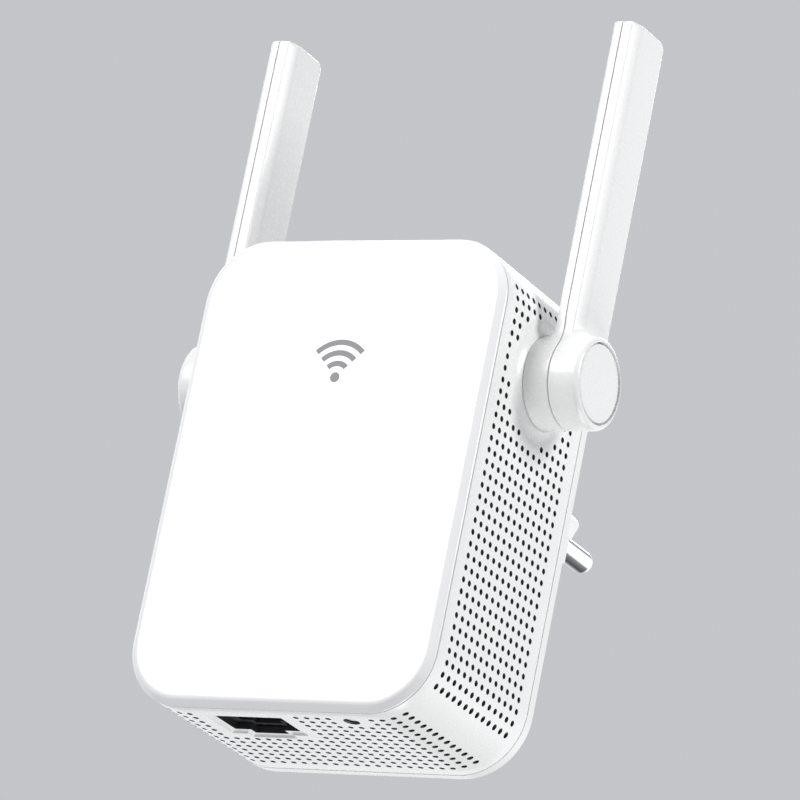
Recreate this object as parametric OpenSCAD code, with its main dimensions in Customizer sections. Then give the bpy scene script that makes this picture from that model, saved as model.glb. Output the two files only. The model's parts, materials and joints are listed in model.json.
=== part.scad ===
// Plug-in wireless range extender with two folding antennas.
// The origin is the centre between the two pins on the contact face of the plug.
// +Y points into the wall, the front cover faces -Y and +Z is up.

/* [Body] */
// Width of the body across the two vented sides
body_w = 71; // [70:0.5:73]
// Height of the body
body_h = 101; // [100:0.5:104]
// Depth from the front seam to the flat of the back
body_d = 41.75; // [41:0.25:42.5]
// Radius of the four corners seen from the front
corner_r = 13.5; // [12.5:0.25:13.5]
// Wall thickness of the mouldings
wall = 2; // [1.8:0.1:2.2]
// Thickness of the front cover plate
cover_t = 2; // [1.8:0.1:2.4]
// Width of the bevel round the front cover
cover_bevel = 1.3; // [0.8:0.1:1.6]

/* [Vents] */
// Distance between neighbouring vent holes
vent_pitch = 2.5; // [2.4:0.05:2.5]
// Diameter of a vent hole
vent_d = 1.1; // [0.8:0.1:1.4]

/* [Plug] */
// Diameter of a plug pin
pin_d = 4.8; // [4:0.1:4.8]
// Length of a plug pin beyond the contact face
pin_l = 19; // [18:0.5:19.5]
// Distance between the two pins
pin_spacing = 19; // [18.5:0.1:19.2]
// Height of the plug base behind the flat of the back
plug_depth = 17.5; // [16:0.5:18]
// Width of the plug base
plug_w = 34.2; // [33:0.2:35]
// Height of the plug base
plug_h = 14; // [13.6:0.2:15]
// Sideways place of the plug from the middle of the body
plug_x = 9.8; // [9:0.2:11]
// Height of the pins above the underside of the body
plug_z = 59.5; // [58:0.5:61]

/* [Antennas] */
// Height of the hinge axes above the underside of the body
hinge_z = 77.5; // [76:0.5:78]
// Depth of the right hinge axis behind the front seam
right_hinge_y = 19; // [18:0.5:20]
// Depth of the left hinge axis behind the front seam
left_hinge_y = 24; // [23:0.5:25]
// Radius of the round hub at the foot of an antenna
hub_r = 9.6; // [9.2:0.1:9.8]
// Length of the hub along the hinge axis
hub_l = 12.6; // [12.4:0.1:13]
// Length of a blade from the hinge axis to its tip
blade_l = 77.3; // [70:0.1:77.4]
// Width of a blade
blade_w = 13; // [12.8:0.1:13.4]
// Thickness of a blade
blade_t = 5.5; // [5.4:0.1:5.8]

/* [Ethernet opening] */
// Sideways place of the opening from the middle of the body
port_x = -9.15; // [-10:0.05:-9]
// Width of the opening in the underside
port_w = 15.5; // [15:0.1:15.8]
// Depth of the opening in the underside, front to back
port_d = 8.4; // [8.2:0.1:8.6]

/* [Buttons] */
// Travel of the pairing button
button_travel = 0.5; // [0.3:0.1:0.6]
// Travel of the reset plunger
reset_travel = 0.35; // [0.2:0.05:0.4]

/* [Hidden] */
$fn = 48;
eps = 0.02;

shell_white = [0.94, 0.94, 0.93];
board_green = [0.08, 0.33, 0.2];
metal = [0.78, 0.79, 0.8];
brass = [0.85, 0.68, 0.35];
black_plastic = [0.09, 0.09, 0.1];

half_w = body_w / 2;
inner_half_w = half_w - wall;
rear_seam_y = body_d - 3.2;
fit_gap = 0.15;
run_gap = 0.05;

// Vent grid: the rows on the sides and the columns underneath share one pitch.
vent_rows = 35;
vent_cols = 13;
vent_first_y = 4;
vent_first_z = 7.5;
vent_under_cols = 23;
vent_under_first_x = 28.4 - (vent_under_cols - 1) * vent_pitch;
vent_clear_r = 13.2;
top_first_row = 5;
first_flat_row = 3;
last_flat_row = 31;
first_flat_col = 3;
last_flat_col = 18;
split_low_z = vent_z(first_flat_row - 0.5);
split_high_z = vent_z(last_flat_row + 0.5);
split_left_x = vent_under_x(first_flat_col - 0.5);
split_right_x = vent_under_x(last_flat_col + 0.5);
snap_z = [30, 62];

// Corner posts that take the screws of the boards and of the rear cover.
post_r = 3.5;
post_x = inner_half_w - 4.7;
post_low_z = wall + 5.7;
post_high_z = body_h - post_low_z;

// Hinges: the stack runs outward from the outer face of the frame boss.
boss_rise = 0.95;
boss_r = 12.6;
boss_inner_r = 8.5;
boss_inner_l = 3;
seam_one_x = half_w + boss_rise + run_gap;
spindle_r = 4;
spindle_bore_r = 2.2;
bore_l = boss_rise + wall + boss_inner_l;
washer_t = 0.8;
ring_t = 1;
washer_x = -(bore_l + 2 * run_gap);
ring_x = washer_x - washer_t - run_gap;
spindle_end = ring_x - ring_t - 1;
blade_x0 = 3.4;
right_seam = 5.7;
left_seam = 6.9;
blade_wall = 1.15;
blade_cavity_front = -2.2;
blade_cavity_back = blade_w / 2 - 1.3;
hub_floor = 1.8;
hub_cavity_r = 7.4;
cap_r = 8.3;
cap_seat = hub_l - 1.6;
cap_t = 1.4;
fillet_r = 8;
bevel_x = 1.1;
bevel_y = 2.6;

// Boards, measured from the front seam.
main_front = 2.6;
main_t = 1.2;
main_back = main_front + main_t;
power_front = 30.4;
power_t = 1.6;
power_back = power_front + power_t;
power_w = 58;
power_low = 26;
power_high = 88;
power_screw_x = 26;
power_screw_low = power_low + 4;
power_screw_high = power_high - 4;

// Ethernet jack.
port_front = 5.9;
port_back = port_front + port_d;
latch_w = 8;
latch_d = 2;
jack_w = 16;
jack_low = wall + 0.05;
jack_high = 20;
jack_back = 15.6;
jack_shell_t = 0.3;

// Controls.
reset_x = 15.7;
reset_y = 5.2;
reset_hole_r = 1.45;
reset_r = 1.4;
button_y = 6.9;
button_z = 30;
button_w = 4;
button_l = 11;
button_proud = 0.7;
led_pitch = 6;
led_first_z = 48;
led_count = 3;
led_r = 0.9;
led_z = [for (i = [0 : led_count - 1]) led_first_z + i * led_pitch];

// Moves a part from the body frame, which starts on the underside at the front seam,
// to the frame of the plug.
module place() {
  translate([-plug_x, -(body_d + plug_depth), -plug_z]) children();
}

module along_x(x, y, z, l, r) {
  translate([x, y, z]) rotate([0, 90, 0]) cylinder(r = r, h = l);
}

module along_y(x, y, z, l, r) {
  translate([x, y + l, z]) rotate([90, 0, 0]) cylinder(r = r, h = l);
}

module along_z(x, y, z, l, r) {
  translate([x, y, z]) cylinder(r = r, h = l);
}

module box(x0, x1, y0, y1, z0, z1) {
  translate([x0, y0, z0]) cube([x1 - x0, y1 - y0, z1 - z0]);
}

// Rounded rectangle with true arcs, centred on the middle of the body front.
module rounded_outline(w, h, r) {
  square([w - 2 * r, h], center = true);
  square([w, h - 2 * r], center = true);
  for (sx = [-1, 1], sz = [-1, 1])
    translate([sx * (w / 2 - r), sz * (h / 2 - r)]) circle(r = r, $fn = 96);
}

module front_slab(inset, y0, y1) {
  translate([0, y1, body_h / 2]) rotate([90, 0, 0])
    linear_extrude(y1 - y0)
      rounded_outline(body_w - 2 * inset, body_h - 2 * inset, corner_r - inset);
}

// A slab whose outline shrinks by b towards local +Z.
module bevelled_slab(w, h, r, b, t) {
  for (sx = [-1, 1], sy = [-1, 1])
    translate([sx * (w / 2 - r), sy * (h / 2 - r), 0])
      cylinder(r1 = r, r2 = r - b, h = t, $fn = 96);
  translate([0, h / 2 - r, 0]) rotate([90, 0, 0])
    linear_extrude(h - 2 * r)
      polygon([[-w / 2, 0], [w / 2, 0], [w / 2 - b, t], [-w / 2 + b, t]]);
  translate([-(w / 2 - r), 0, 0]) rotate([90, 0, 90])
    linear_extrude(w - 2 * r)
      polygon([[-h / 2, 0], [h / 2, 0], [h / 2 - b, t], [-h / 2 + b, t]]);
}

// A round cable along straight runs between points.
module cable(points, r) {
  for (i = [0 : len(points) - 2]) {
    run = points[i + 1] - points[i];
    l = norm(run);
    translate(points[i])
      rotate([0, acos(run.z / l), atan2(run.y, run.x)]) cylinder(r = r, h = l, $fn = 24);
    if (i > 0) translate(points[i]) sphere(r = r + 0.04, $fn = 32);
  }
}

// Casing ---------------------------------------------------------------------

module front_cover() place() color(shell_white) {
  lip_t = 1.2;
  lip_l = 2.4;
  flat_t = 0.4;
  screw_relief_r = 2;
  front_slab(0, -flat_t, 0);
  translate([0, -flat_t, body_h / 2]) rotate([90, 0, 0])
    bevelled_slab(body_w, body_h, corner_r, cover_bevel, cover_t - flat_t);
  difference() {
    front_slab(wall + fit_gap, -eps, lip_l);
    front_slab(wall + fit_gap + lip_t, -1, lip_l + 1);
    for (sx = [-1, 1], z = [post_low_z, post_high_z])
      along_y(sx * post_x, -1, z, lip_l + 2, screw_relief_r);
  }
  for (m = [0, 1], z = snap_z) mirror([m, 0, 0]) snap_bead(z, 0.5);
}

// Bead on the lip of the front cover that snaps into the side frame.
module snap_bead(z, r) {
  along_z(inner_half_w - fit_gap, 1.5, z - 4, 8, r);
}

// The vented walls are made as four flat panels and four corner pieces, split between holes.
module side_frame() place() color(shell_white) {
  side_panel(right_hinge_y, false);
  mirror([1, 0, 0]) side_panel(left_hinge_y, true);
  under_panel();
  top_panel();
  for (sx = [-1, 1], sz = [-1, 1]) corner_piece(sx, sz);
}

// A side wall with its hinge boss; the one with the controls also has their openings.
module side_panel(hinge_y, controls) {
  difference() {
    union() {
      box(inner_half_w, half_w, 0, rear_seam_y, split_low_z, split_high_z);
      hinge_boss(hinge_y);
    }
    side_vents(hinge_y, controls);
    hinge_bore(hinge_y);
    for (z = snap_z) snap_bead(z, 0.6);
    if (controls) {
      button_opening();
      for (z = led_z) along_x(inner_half_w - 1, button_y, z, wall + 2, led_r + 0.1);
    }
  }
}

module under_panel() {
  difference() {
    box(split_left_x, split_right_x, 0, rear_seam_y, 0, wall);
    under_vents(first_flat_col, last_flat_col);
    port_opening();
    along_z(reset_x, reset_y, -1, wall + 2, reset_hole_r);
  }
}

module top_panel() {
  difference() {
    box(-split_right_x, -split_left_x, 0, rear_seam_y, body_h - wall, body_h);
    top_vents();
  }
}

// One rounded corner of the frame with its holes and its screw post.
module corner_piece(sx, sz) {
  x_in = (sz < 0) == (sx > 0) ? split_right_x : -split_left_x;
  z_in = sz < 0 ? split_low_z : split_high_z;
  z_out = sz < 0 ? -1 : body_h + 1;
  post_z = sz < 0 ? post_low_z : post_high_z;
  side_rows = sz < 0 ? [0 : first_flat_row - 1] : [last_flat_row + 1 : vent_rows - 1];
  difference() {
    intersection() {
      difference() {
        front_slab(0, 0, rear_seam_y);
        front_slab(wall, -1, rear_seam_y + 1);
      }
      box(min(sx * x_in, sx * body_w), max(sx * x_in, sx * body_w), -1, body_d,
          min(z_in, z_out), max(z_in, z_out));
    }
    for (c = [0 : vent_cols - 1], r = side_rows)
      mirror([sx < 0 ? 1 : 0, 0, 0]) side_hole(c, r);
    if (sz < 0)
      if (sx < 0) under_vents(0, first_flat_col - 1);
      else under_vents(last_flat_col + 1, vent_under_cols - 1);
  }
  difference() {
    along_y(sx * post_x, main_back, post_z, rear_seam_y - main_back, post_r);
    along_y(sx * post_x, main_back - 1, post_z, 8, 0.95);
    along_y(sx * post_x, rear_seam_y - 9, post_z, 10, 1.15);
  }
}

module hinge_boss(y) {
  along_axis(half_w - eps, y)
    cylinder(r1 = boss_r, r2 = hub_r + 0.2, h = boss_rise + eps, $fn = 96);
  along_axis(inner_half_w - boss_inner_l, y) cylinder(r = boss_inner_r, h = boss_inner_l + eps);
}

module hinge_bore(y) {
  along_axis(inner_half_w - boss_inner_l - 1, y)
    cylinder(r = spindle_r + run_gap, h = bore_l + 2);
}

module along_axis(x, y) {
  translate([x, y, hinge_z]) rotate([0, 90, 0]) children();
}

function vent_y(c) = vent_first_y + c * vent_pitch;
function vent_z(r) = vent_first_z + r * vent_pitch;
function vent_under_x(k) = vent_under_first_x + k * vent_pitch;

module side_hole(c, r) {
  along_x(half_w - wall - 1.8, vent_y(c), vent_z(r), wall + 2.8, vent_d / 2, $fn = 16);
}

// Holes of a flat side; those under the hinge boss and round the controls are left out.
module side_vents(hinge_y, controls) {
  for (c = [0 : vent_cols - 1], r = [first_flat_row : last_flat_row]) {
    y = vent_y(c);
    z = vent_z(r);
    near_hinge = norm([y - hinge_y, z - hinge_z]) < vent_clear_r;
    near_controls = controls && y < button_y + 4 && z > button_z - 8 && z < led_first_z + 15;
    if (!near_hinge && !near_controls) side_hole(c, r);
  }
}

// Holes of the underside, apart from the Ethernet opening and the reset hole.
module under_vents(k0, k1) {
  for (c = [0 : vent_cols - 1], k = [k0 : k1]) {
    y = vent_y(c);
    x = vent_under_x(k);
    near_port = abs(x - port_x) < port_w / 2 + 2.4 && y < port_back + 3.6;
    near_reset = abs(x - reset_x) < 4.5 && y < reset_y + 2;
    if (!near_port && !near_reset) along_z(x, y, -1, wall + 3.6, vent_d / 2, $fn = 16);
  }
}

// A band of three rows along the middle of the top.
module top_vents() {
  for (c = [top_first_row : top_first_row + 2], k = [first_flat_col : last_flat_col])
    along_z(-vent_under_x(k), vent_y(c), body_h - wall - 1.8, wall + 2.8, vent_d / 2, $fn = 16);
}

module port_opening() {
  rim = 1.1;
  box(port_x - port_w / 2, port_x + port_w / 2, port_front, port_back, -1, wall + 1);
  box(port_x - latch_w / 2, port_x + latch_w / 2, port_back - 1, port_back + latch_d, -1, wall + 1);
  box(port_x - port_w / 2 - rim, port_x + port_w / 2 + rim, port_front - rim, port_back + rim,
      -1, 0.5);
  box(port_x - latch_w / 2 - rim, port_x + latch_w / 2 + rim, port_back, port_back + latch_d + rim,
      -1, 0.5);
}

module button_outline(w, l) {
  square([w, l - w], center = true);
  for (s = [-1, 1]) translate([0, s * (l - w) / 2]) circle(d = w);
}

module button_bar(x, t, w, l) {
  translate([x, button_y, button_z]) rotate([90, 0, 90]) linear_extrude(t) button_outline(w, l);
}

// The opening is drawn on the right and mirrored with its panel.
module button_opening() {
  button_bar(inner_half_w - 1, wall + 2, button_w + 0.2, button_l + 0.2);
}

module rear_cover() place() color(shell_white) {
  lip_t = 1.2;
  edge = 1;
  difference() {
    union() {
      front_slab(0, rear_seam_y, body_d - edge);
      translate([0, body_d - edge, body_h / 2]) rotate([-90, 0, 0])
        bevelled_slab(body_w, body_h, corner_r, 0.8, edge);
      for (s = [-1, 1])
        box(min(s * (inner_half_w - fit_gap), s * (inner_half_w - fit_gap - lip_t)),
            max(s * (inner_half_w - fit_gap), s * (inner_half_w - fit_gap - lip_t)),
            rear_seam_y - 2, rear_seam_y + eps, 20, body_h - 20);
      for (z0 = [wall + fit_gap, body_h - wall - fit_gap - lip_t])
        box(-18, 18, rear_seam_y - 2, rear_seam_y + eps, z0, z0 + lip_t);
      plug_prism(0, body_d - eps, body_d + plug_depth);
      for (s = [-1, 1], z = [power_screw_low, power_screw_high])
        along_y(s * power_screw_x, power_back, z, rear_seam_y - power_back + eps, 3);
    }
    plug_prism(2, power_back, body_d + plug_depth - 2.5);
    for (s = [-1, 1])
      along_y(plug_x + s * pin_spacing / 2, body_d + plug_depth - 3, plug_z, 4, shank_r + 0.02);
    for (s = [-1, 1])
      along_y(plug_x + s * pin_spacing / 2, body_d + plug_depth - 0.15, plug_z, 1, pin_d / 2 + 0.1);
    for (s = [-1, 1], z = [power_screw_low, power_screw_high])
      along_y(s * power_screw_x, power_back - 1, z, 6, 0.95);
    for (sx = [-1, 1], z = [post_low_z, post_high_z]) {
      along_y(sx * post_x, rear_seam_y - 1, z, 6, 1.3);
      along_y(sx * post_x, body_d - 1.4, z, 3, 2.6);
    }
    box(-22 - fit_gap, 22 + fit_gap, body_d - 0.25, body_d + 1, 14 - fit_gap, 38 + fit_gap);
  }
}

// The plug base: a bar with a rounded nose high on each end, hollow inside.
module plug_prism(inset, y0, y1) {
  w = plug_w / 2 - inset;
  h = plug_h / 2 - inset;
  end = [
    [w - 5.3, h], [w - 0.35, 2.85], [w, 2.2], [w - 0.15, 1.5],
    [w - 1.2, -0.9], [w - 1.75, -1.3], [w - 1.75, 1 - h], [w - 2.75, -h],
  ];
  other_end = [for (i = [len(end) - 1 : -1 : 0]) [-end[i][0], end[i][1]]];
  translate([plug_x, y1, plug_z]) rotate([90, 0, 0])
    linear_extrude(y1 - y0) polygon(concat(end, other_end));
}

module pan_screw(l, r, head_r, head_h) {
  cylinder(r = r, h = l, $fn = 24);
  difference() {
    translate([0, 0, -head_h]) cylinder(r = head_r, h = head_h);
    for (a = [0, 90])
      rotate(a) translate([-head_r * 0.6, -0.25, -head_h - 1])
        cube([head_r * 1.2, 0.5, 1 + head_h * 0.55]);
  }
}

module case_screws() place() color(metal) {
  for (sx = [-1, 1], z = [post_low_z, post_high_z])
    translate([sx * post_x, body_d - 1.4, z]) rotate([90, 0, 0]) pan_screw(8, 1.12, 2.3, 1.2);
}

module board_screws() place() color(metal) {
  for (sx = [-1, 1], z = [post_low_z, post_high_z])
    translate([sx * post_x, main_front, z]) rotate([-90, 0, 0]) pan_screw(6, 0.93, 1.7, 1.2);
}

module rating_plate() place() color([0.86, 0.86, 0.86]) {
  box(-22, 22, body_d - 0.25, body_d - 0.05, 14, 38);
}

// Plug -----------------------------------------------------------------------

// A pin is thinner where it is held in the base. Its full width starts just off the face,
// over a shallow ring that is cut into the face round it.
shank_r = 2;
pin_start = 0.1;

module plug_pin(s) place() color([0.82, 0.82, 0.84])
  translate([plug_x + s * pin_spacing / 2, body_d + plug_depth, plug_z]) rotate([-90, 0, 0]) {
    nose = pin_d / 2;
    translate([0, 0, -5.5]) cylinder(r = shank_r, h = 5.5 + 2 * pin_start);
    translate([0, 0, pin_start]) cylinder(r = nose, h = pin_l - nose - pin_start);
    translate([0, 0, pin_l - nose]) intersection() {
      sphere(r = nose, $fn = 64);
      translate([0, 0, -eps]) cylinder(r = nose + 1, h = nose + 1);
    }
    translate([0, 0, -4]) cylinder(r = nose + 0.9, h = 1.5 - eps);
  }

module plug_pin_left() plug_pin(-1);

module plug_pin_right() plug_pin(1);

module mains_leads() place() color(brass) {
  lead_start = power_back;
  lead_end = body_d + plug_depth - 5.5;
  for (s = [-1, 1]) {
    x = plug_x + s * pin_spacing / 2;
    along_y(x, lead_start, plug_z, lead_end - lead_start, 0.9);
    along_y(x, lead_end - 1.2, plug_z, 1.2, 2);
  }
}

// Power supply ---------------------------------------------------------------

module power_board() place() color([0.72, 0.62, 0.3]) {
  difference() {
    box(-power_w / 2, power_w / 2, power_front, power_back, power_low, power_high);
    for (s = [-1, 1], z = [power_screw_low, power_screw_high])
      along_y(s * power_screw_x, power_front - 1, z, power_t + 2, 1.1);
  }
}

module power_board_screws() place() color(metal) {
  for (s = [-1, 1], z = [power_screw_low, power_screw_high])
    translate([s * power_screw_x, power_front, z]) rotate([-90, 0, 0]) pan_screw(5, 0.93, 1.9, 1.2);
}

core_x = -6;
core_z = 48;
core_w = 18;
core_h = 16;
core_depth = 15;

module transformer_core() place() color([0.2, 0.2, 0.21]) {
  y0 = power_front - 1 - core_depth;
  difference() {
    box(core_x - core_w / 2, core_x + core_w / 2, y0, y0 + core_depth, core_z - 4, core_z + 4);
    for (s = [-1, 1])
      box(core_x + s * 4.6 - 1.6 - 0.1, core_x + s * 4.6 + 1.6 + 0.1, y0 + 3, y0 + core_depth - 3,
          core_z - 5, core_z + 5);
  }
}

module transformer_winding() place() color([0.93, 0.8, 0.25]) {
  y0 = power_front - 1 - core_depth + 3.1;
  y1 = power_front - 1 - 3.1;
  difference() {
    box(core_x - 6.1, core_x + 6.1, y0, y1, core_z - core_h / 2, core_z + core_h / 2);
    box(core_x - 3.1, core_x + 3.1, y0 - 1, y1 + 1, core_z - 4.1, core_z + 4.1);
  }
  for (sx = [-1, 1], sz = [-1, 1])
    along_y(core_x + sx * 5, y1 - 1, core_z + sz * 6.5, power_front - y1 + 1, 0.35);
}

module can_capacitor(x, z, r, l) {
  along_y(x, power_front - l, z, l - 1, r);
  for (s = [-1, 1]) along_y(x, power_front - 1.5, z + s * r * 0.45, 1.5, 0.3);
}

module bulk_capacitors() place() color([0.12, 0.14, 0.2]) {
  can_capacitor(14, 40, 4, 15);
  can_capacitor(14, 49.5, 4, 15);
}

module output_capacitors() place() color([0.1, 0.3, 0.25]) {
  can_capacitor(-21, 42, 3.15, 12);
  can_capacitor(-21, 50, 3.15, 12);
}

module line_choke() place() color([0.3, 0.16, 0.08]) {
  along_y(-4, power_front - 9, 72, 9, 3.6);
  along_y(-4, power_front - 10, 72, 1, 4.4);
}

module line_fuse() place() color([0.62, 0.75, 0.62]) {
  along_x(8, power_front - 3, 70, 9, 2);
  for (x = [8.5, 16.5]) along_y(x, power_front - 3, 70, 3, 0.35);
}

module bridge_rectifier() place() color(black_plastic) {
  box(19.5, 24.5, power_front - 2.6, power_front, 54, 60);
}

module safety_capacitor() place() color([0.15, 0.35, 0.65]) {
  along_z(2, power_front - 5, 63.2, 3, 3.6);
  for (x = [0, 4]) along_y(x, power_front - 2.2, 64.7, 2.2, 0.35);
}

module optocoupler() place() color(black_plastic) {
  box(3, 7.6, power_front - 3.6, power_front, 30, 36.4);
}

module power_controller() place() color(black_plastic) {
  box(-6, -1, power_front - 1.7, power_front, 30, 34);
}

module board_link() place() color([0.9, 0.9, 0.88]) {
  link_z = 29;
  box(-22, -12, main_back, main_back + 3, link_z - 2, link_z + 2);
  box(-22, -12, power_front - 3, power_front, link_z - 2, link_z + 2);
  for (i = [0 : 3])
    along_y(-20.5 + i * 2.3, main_back + 2, link_z, power_front - main_back - 4, 0.6);
}

module insulation_sheet() place() color([0.9, 0.88, 0.75]) {
  y0 = shield_top + pad_t + fin_t;
  box(-20, 20, y0, y0 + 0.3, 34, 94);
}

// Main board -----------------------------------------------------------------

module main_board() place() color(board_green) {
  difference() {
    front_slab(wall + 0.5, main_front, main_back);
    for (sx = [-1, 1], z = [post_low_z, post_high_z])
      along_y(sx * post_x, main_front - 1, z, main_t + 2, 1.1);
  }
}

shield_w = 40;
shield_low = 52;
shield_high = 84;
shield_h = 2.4;
lid_gap = 0.05;
lid_t = 0.2;
shield_top = main_back + shield_h + lid_gap + lid_t;
pad_t = 0.6;
plate_t = 1.2;
fin_t = 2.4;

module shield_frame() place() color(metal) {
  difference() {
    box(-shield_w / 2, shield_w / 2, main_back, main_back + shield_h, shield_low, shield_high);
    box(-shield_w / 2 + 0.3, shield_w / 2 - 0.3, main_back - 1, main_back + shield_h + 1,
        shield_low + 0.3, shield_high - 0.3);
  }
}

module shield_lid() place() color([0.83, 0.84, 0.85]) {
  inside = shield_w / 2 + lid_gap;
  difference() {
    box(-inside - lid_t, inside + lid_t, main_back + 0.6, shield_top,
        shield_low - lid_gap - lid_t, shield_high + lid_gap + lid_t);
    box(-inside, inside, main_back, shield_top - lid_t,
        shield_low - lid_gap, shield_high + lid_gap);
  }
}

module processor() place() color(black_plastic) {
  box(-14, -2, main_back, main_back + 1.2, 60, 72);
}

module memory_chips() place() color([0.14, 0.14, 0.15]) {
  box(-16, -8, main_back, main_back + 1, 36, 42);
  box(-4, 2, main_back, main_back + 1.4, 36, 41);
}

module radio_chips() place() color(black_plastic) {
  for (z = [57, 73]) box(6, 13, main_back, main_back + 1, z, z + 7);
}

module thermal_pad() place() color([0.55, 0.62, 0.75]) {
  box(-14, 14, shield_top, shield_top + pad_t, 58, 78);
}

module heat_spreader() place() color([0.7, 0.71, 0.72]) {
  y0 = shield_top + pad_t;
  box(-20, 20, y0, y0 + plate_t, 48, 90);
  for (z = [51 : 6 : 87]) box(-19, 19, y0 + plate_t - eps, y0 + fin_t, z - 0.5, z + 0.5);
}

module ethernet_shell() place() color(metal) {
  x0 = port_x - jack_w / 2;
  x1 = port_x + jack_w / 2;
  difference() {
    box(x0, x1, main_back, jack_back, jack_low, jack_high);
    box(x0 + jack_shell_t, x1 - jack_shell_t, main_back - 1, jack_back - jack_shell_t,
        jack_low - 1, jack_high - jack_shell_t);
  }
}

module ethernet_insert() place() color(black_plastic) {
  gap = jack_shell_t + 0.02;
  cavity_w = 11.9;
  cavity_front = 6.1;
  cavity_back = 12.9;
  difference() {
    box(port_x - jack_w / 2 + gap, port_x + jack_w / 2 - gap, main_back + 0.02, jack_back - gap,
        jack_low, jack_high - gap);
    box(port_x - cavity_w / 2, port_x + cavity_w / 2, cavity_front, cavity_back,
        jack_low - 1, jack_low + 13.5);
    box(port_x - 3.2, port_x + 3.2, cavity_back - 1, cavity_back + 1.6, jack_low - 1, jack_low + 13.5);
  }
}

// Eight sprung wires that lean from the mouth of the jack towards its back wall.
module ethernet_contacts() place() color(brass) {
  contact_pitch = 1.02;
  for (i = [0 : 7]) {
    x = port_x + (i - 3.5) * contact_pitch;
    cable([[x, 6.45, jack_low + 3.2], [x, 8.2, jack_low + 12.9]], 0.2);
  }
}

module ethernet_magnetics() place() color(black_plastic) {
  box(port_x - 6.5, port_x + 6.5, main_back, main_back + 3, 20.6, 26.4);
}

connector_x = 26;
connector_z = 64;

module coax_connectors() place() color(brass) {
  for (s = [-1, 1]) {
    box(s * connector_x - 1.5, s * connector_x + 1.5, main_back, main_back + 0.6,
        connector_z - 1.5, connector_z + 1.5);
    along_y(s * connector_x, main_back + 0.5, connector_z, 1.6, 1.2);
  }
}

// The fixed run of an antenna cable, from the inner end of the hinge to the main board.
module body_cable(hinge_y) {
  end_x = seam_one_x + spindle_end - 0.6;
  cable([[end_x, hinge_y, hinge_z], [end_x - 2.4, hinge_y, hinge_z],
         [end_x - 2.4, hinge_y - 7, hinge_z - 7], [connector_x, main_back + 5, connector_z],
         [connector_x, main_back + 2.1, connector_z]], 0.65);
}

module right_body_cable() place() color(black_plastic) body_cable(right_hinge_y);

module left_body_cable() place() color(black_plastic) mirror([1, 0, 0]) body_cable(left_hinge_y);

// Controls and lamps ---------------------------------------------------------

reset_rest_z = 0.6;
reset_flange_z = wall + 0.1;
reset_stem_end = reset_flange_z + 1.4;
press_gap = 0.1;
nub_l = 0.4;
switch_low = reset_stem_end + reset_travel + press_gap + nub_l;

module reset_plunger() place() color([0.88, 0.88, 0.87]) {
  along_z(reset_x, reset_y, reset_rest_z, reset_stem_end - reset_rest_z, reset_r - 0.05);
  along_z(reset_x, reset_y + 0.3, reset_flange_z, 0.6, 1.0);
  box(reset_x - 2.2, reset_x + 2.2, reset_y - 1, reset_y + 1.4, reset_flange_z, reset_flange_z + 0.6);
}

module reset_switch() place() color(black_plastic) {
  box(reset_x - 2.6, reset_x + 2.6, main_back, main_back + 2.2, switch_low, switch_low + 3.2);
  along_z(reset_x, reset_y, switch_low - nub_l, nub_l + eps, 0.7);
}

button_head_x = -half_w - button_proud;
button_flange_x = -inner_half_w + 0.02;
button_flange_t = 0.8;
pairing_x = -29.5;
pairing_nub_x = button_flange_x + button_flange_t + button_travel + press_gap;

module pairing_button() place() color([0.9, 0.9, 0.89]) {
  button_bar(button_head_x, button_flange_x - button_head_x + button_flange_t, button_w, button_l);
  button_bar(button_flange_x, button_flange_t, button_w + 1.6, button_l + 1.6);
}

module pairing_switch() place() color(black_plastic) {
  box(pairing_x - 2, pairing_x + 1.6, main_back, main_back + 4.6, button_z - 3, button_z + 3);
  along_x(pairing_nub_x, button_y, button_z, pairing_x - 2 + eps - pairing_nub_x, 1);
}

module status_leds() place() color([0.95, 0.95, 0.8]) {
  for (z = led_z) box(-29.4, -27.8, main_back, main_back + 0.8, z - 0.8, z + 0.8);
}

// Clear bar with three pegs that carry the light from the lamps to the side face.
module light_pipe() place() color([0.85, 0.92, 0.95]) {
  for (z = led_z)
    along_x(-half_w + 0.1, button_y, z, wall + 1, led_r);
  box(-inner_half_w + 0.1, -29.6, button_y - 0.8, button_y + 1.4, led_z[0] - 2, led_z[2] + 2);
  for (z = led_z) box(-29.8, -27.6, main_back + 0.9, button_y + 1.4, z - 1, z + 1);
}

// Antennas -------------------------------------------------------------------
// In the frame of one antenna x runs outward from the first seam, y runs back and z runs up
// from the hinge axis.

module at_hinge(s) {
  hinge_y = s > 0 ? right_hinge_y : left_hinge_y;
  if (s > 0) place() translate([seam_one_x, hinge_y, hinge_z]) children();
  else place() mirror([1, 0, 0]) translate([seam_one_x, hinge_y, hinge_z]) children();
}

module across(x0, x1) {
  translate([x0, 0, 0]) rotate([90, 0, 90]) linear_extrude(x1 - x0) children();
}

// Side view of the blade with the hub and the two hollow curves between them.
module blade_outline() {
  curve_y = blade_w / 2 + fillet_r;
  curve_z = sqrt((hub_r + fillet_r) ^ 2 - curve_y ^ 2);
  tip_r = 1.5;
  circle(r = hub_r, $fn = 96);
  translate([-blade_w / 2, 0]) square([blade_w, blade_l - tip_r]);
  translate([-blade_w / 2, 0]) square([blade_w - tip_r, blade_l]);
  translate([blade_w / 2 - tip_r, blade_l - tip_r]) circle(r = tip_r);
  for (s = [-1, 1])
    difference() {
      polygon([[0, 0], [s * curve_y, curve_z], [0, curve_z]]);
      translate([s * curve_y, curve_z]) circle(r = fillet_r, $fn = 96);
    }
}

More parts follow.
